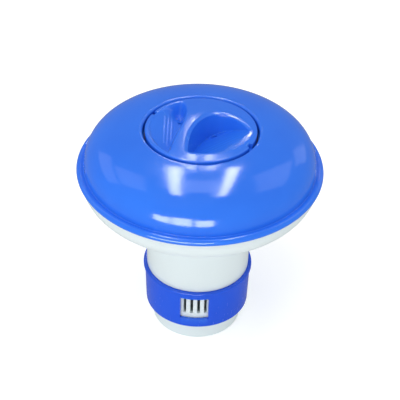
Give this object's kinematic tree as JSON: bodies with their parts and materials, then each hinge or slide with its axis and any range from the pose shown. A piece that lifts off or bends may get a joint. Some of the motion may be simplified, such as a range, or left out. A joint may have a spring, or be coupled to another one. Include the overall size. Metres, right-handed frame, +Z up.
{
  "type": "floating chlorine dispenser",
  "caption": "Round domed pool floater with a slotted tablet tube below, a turning control ring that meters the slots and a twist-off cap with finger recesses.",
  "frame": {"origin": "centre of the foot's flat underside, at the bottom of the part", "axes": "+Z up along the axis of symmetry from the foot to the cap, -Y the front that the control ring's window faces, +X to the right seen from the front"},
  "size_m": [0.13, 0.13, 0.127],
  "materials": {
    "blue_plastic": "glossy injection moulded",
    "white_plastic": "semi-gloss injection moulded",
    "seal_rubber": "soft matte"
  },
  "bodies": {
    "float": {"float_dome": "blue_plastic", "float_bowl": "white_plastic", "tablet_tube": "white_plastic"},
    "seal": {"cap_seal": "seal_rubber"},
    "cap": {"twist_cap": "blue_plastic"},
    "ring": {"control_ring": "blue_plastic"}
  },
  "joints": [
    {"name": "cap_turn", "type": "hinge", "parent": "float", "child": "seal", "pos_m": [0, 0, 0.12], "axis": [0, 0, 1], "range_deg": [-40, 0]},
    {"name": "cap_lift", "type": "slide", "parent": "seal", "child": "cap", "axis": [0, 0, 1], "range_m": [0, 0.06]},
    {"name": "ring_turn", "type": "hinge", "parent": "float", "child": "ring", "pos_m": [0, 0, 0.025], "axis": [0, 0, 1], "continuous": true}
  ]
}
